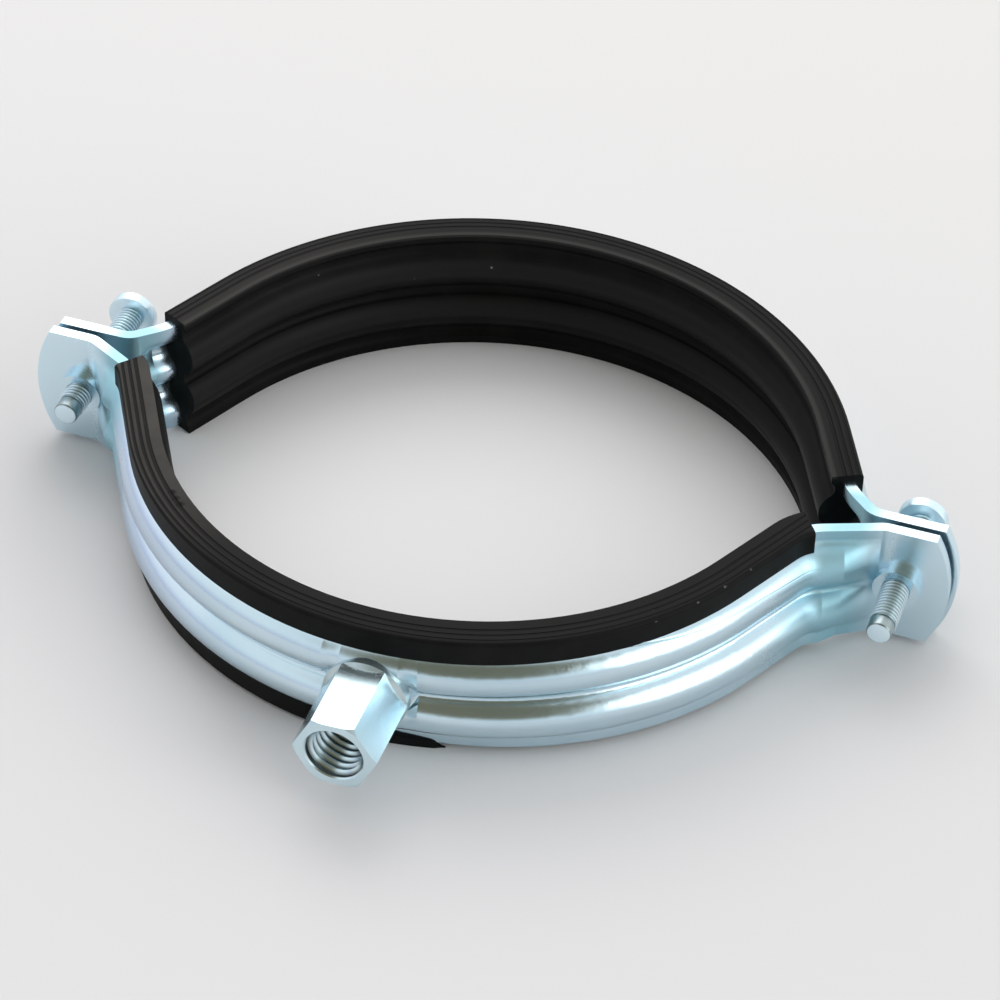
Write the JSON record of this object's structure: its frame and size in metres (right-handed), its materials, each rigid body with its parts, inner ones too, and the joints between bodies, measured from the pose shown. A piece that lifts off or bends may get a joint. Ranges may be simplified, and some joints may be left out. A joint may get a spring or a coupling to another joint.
{
  "type": "rubber lined pipe clamp",
  "caption": "Split pipe clamp with a rubber lining, lobed steel bands, side clamping screws and a welded threaded hexagon boss.",
  "frame": {"origin": "on the pipe axis of the front half's seat, at mid width", "axes": "+Z along the pipe; the threaded boss points to -Y and the clamping screws run along Y; +X is the pipe clamp's right ear seen from the boss"},
  "size_m": [0.1714, 0.1363, 0.0256],
  "materials": {
    "zinc_band": "bright zinc plated sheet with a faint blue tint",
    "zinc_boss": "bright zinc plated turned hexagon",
    "zinc_screw": "bright zinc plated",
    "rubber_lining": "matte black with moulding lines"
  },
  "bodies": {
    "front_half": {"front_strap": "zinc_band", "boss_nut": "zinc_boss", "front_liner": "rubber_lining"},
    "rear_half": {"rear_strap": "zinc_band", "rear_liner": "rubber_lining"},
    "screw_left": {"left_screw": "zinc_screw"},
    "screw_right": {"right_screw": "zinc_screw"}
  },
  "joints": [
    {"name": "rear_half_slide", "type": "slide", "parent": "front_half", "child": "rear_half", "axis": [0, 1, 0], "range_m": [-0.001, 0.0115]},
    {"name": "left_screw_turn", "type": "hinge", "parent": "front_half", "child": "screw_left", "pos_m": [-0.0744, 0, 0], "axis": [0, 1, 0], "continuous": true},
    {"name": "right_screw_turn", "type": "hinge", "parent": "front_half", "child": "screw_right", "pos_m": [0.0784, 0, 0], "axis": [0, 1, 0], "continuous": true}
  ]
}
